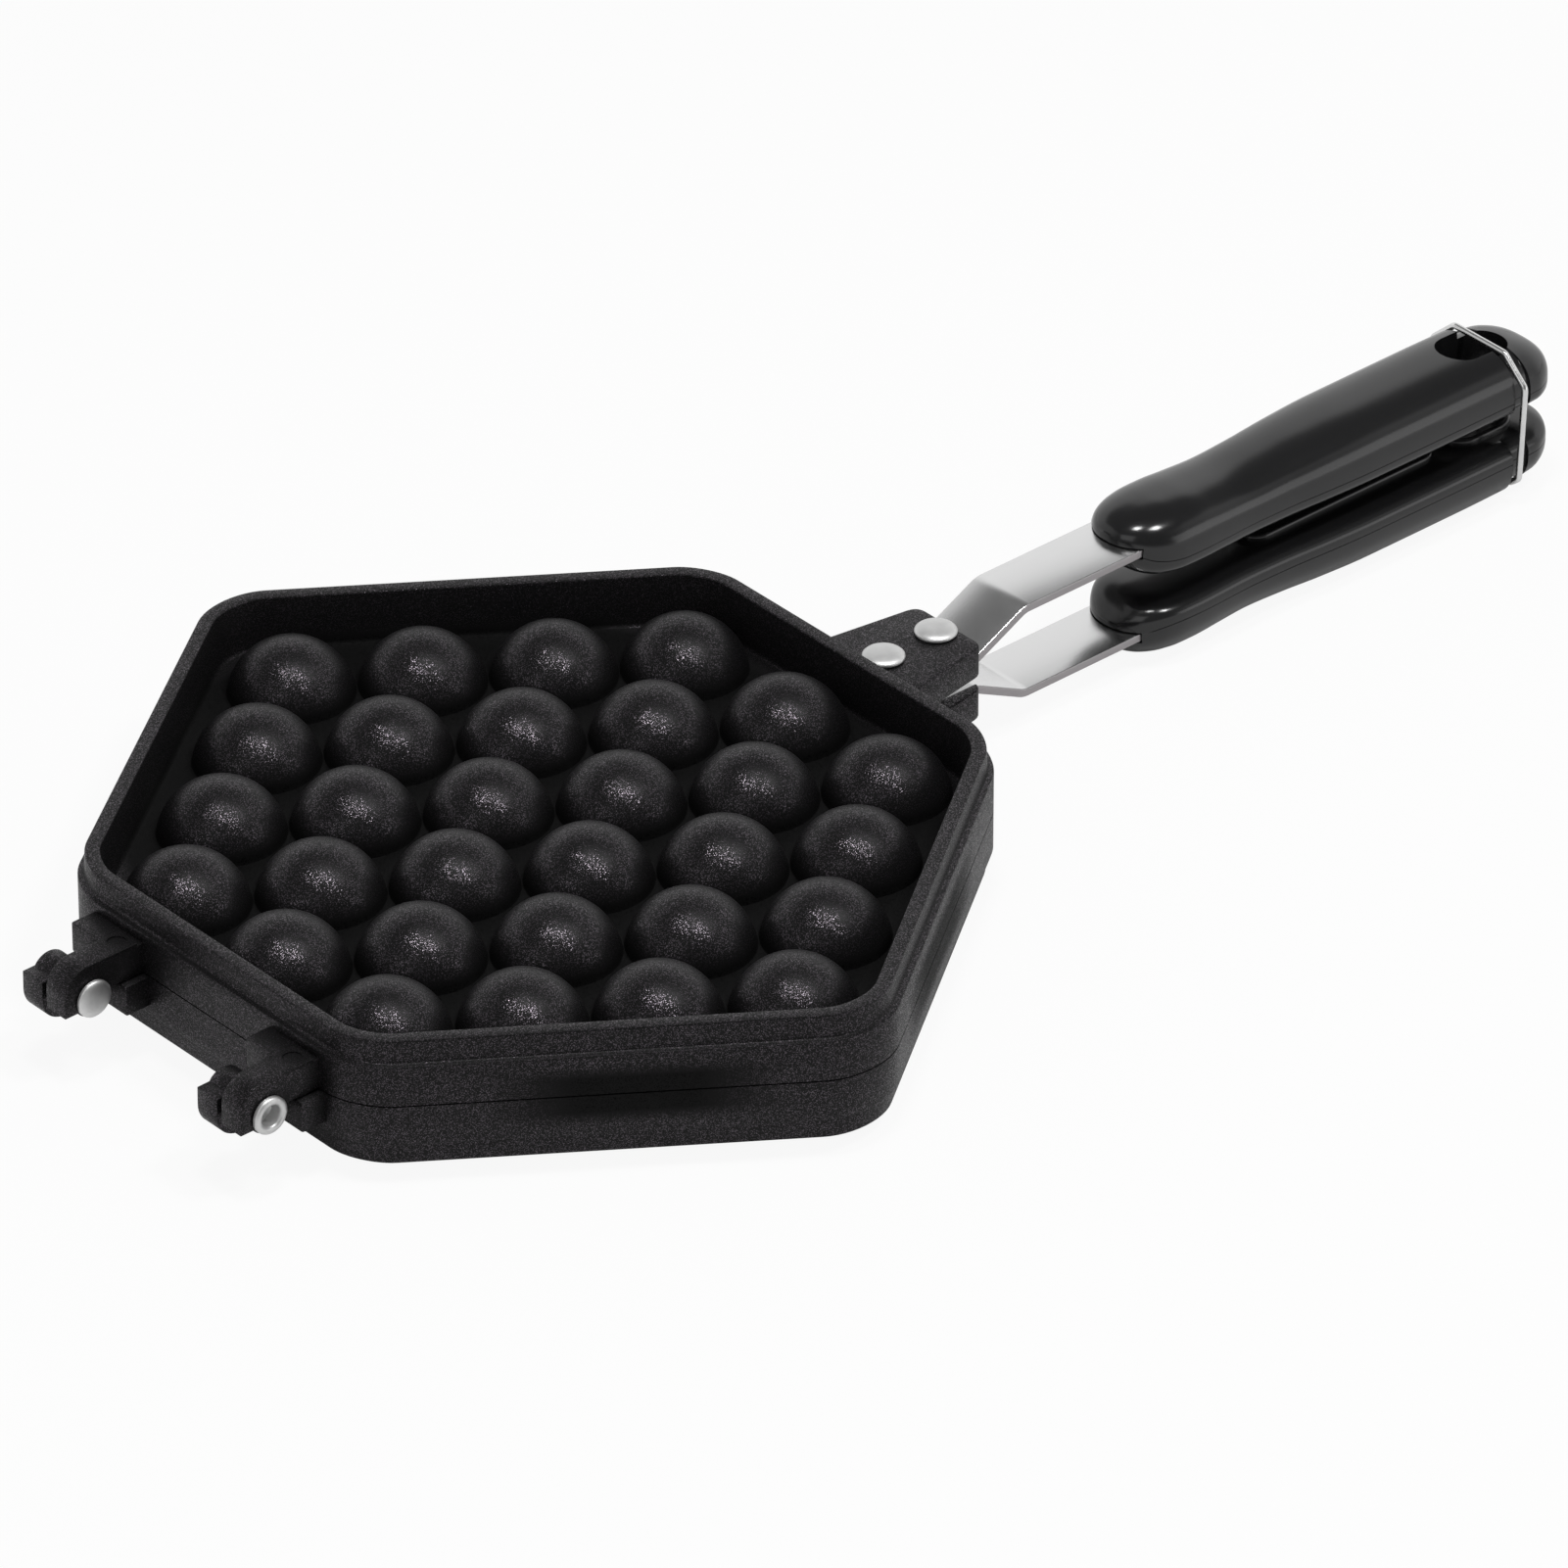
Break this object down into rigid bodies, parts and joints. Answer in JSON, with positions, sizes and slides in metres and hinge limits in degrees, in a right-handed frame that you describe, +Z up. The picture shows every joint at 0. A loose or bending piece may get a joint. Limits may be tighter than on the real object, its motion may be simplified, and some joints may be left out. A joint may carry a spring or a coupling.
{
  "type": "egg waffle pan",
  "caption": "Hinged stove-top egg waffle pan: cast plates with hemispherical cups, riveted steel straps, moulded grips and a wire bail that locks the grips together.",
  "frame": {"origin": "middle of the pan's length and width, at its lowest point, the underside of the lower grip", "axes": "+X from the hinges to the grips, +Y across the pan, +Z up through the closed pan"},
  "size_m": [0.369, 0.1948, 0.0344],
  "materials": {
    "casting": "die-cast aluminium with a black non-stick coating, satin",
    "strap_steel": "satin steel strip",
    "rivet_steel": "polished steel",
    "phenolic": "glossy black moulded phenolic",
    "spring_wire": "bright plated spring wire"
  },
  "bodies": {
    "lower_half": {"lower_plate": "casting", "lower_strap": "strap_steel", "lower_strap_rivet_1": "rivet_steel", "lower_strap_rivet_2": "rivet_steel", "lower_grip": "phenolic", "hinge_pin_far": "rivet_steel", "hinge_pin_near": "rivet_steel"},
    "upper_half": {"upper_plate": "casting", "upper_strap": "strap_steel", "upper_strap_rivet_1": "rivet_steel", "upper_strap_rivet_2": "rivet_steel", "upper_grip": "phenolic"},
    "bail": {"wire_bail": "spring_wire"}
  },
  "joints": [
    {"name": "pan_hinge", "type": "hinge", "parent": "lower_half", "child": "upper_half", "pos_m": [-0.178, 0, 0.0172], "axis": [0, -1, 0], "range_deg": [0, 180]},
    {"name": "bail_swing", "type": "hinge", "parent": "lower_half", "child": "bail", "pos_m": [0.17, 0, 0.0042], "axis": [0, 1, 0], "range_deg": [0, 245]}
  ]
}
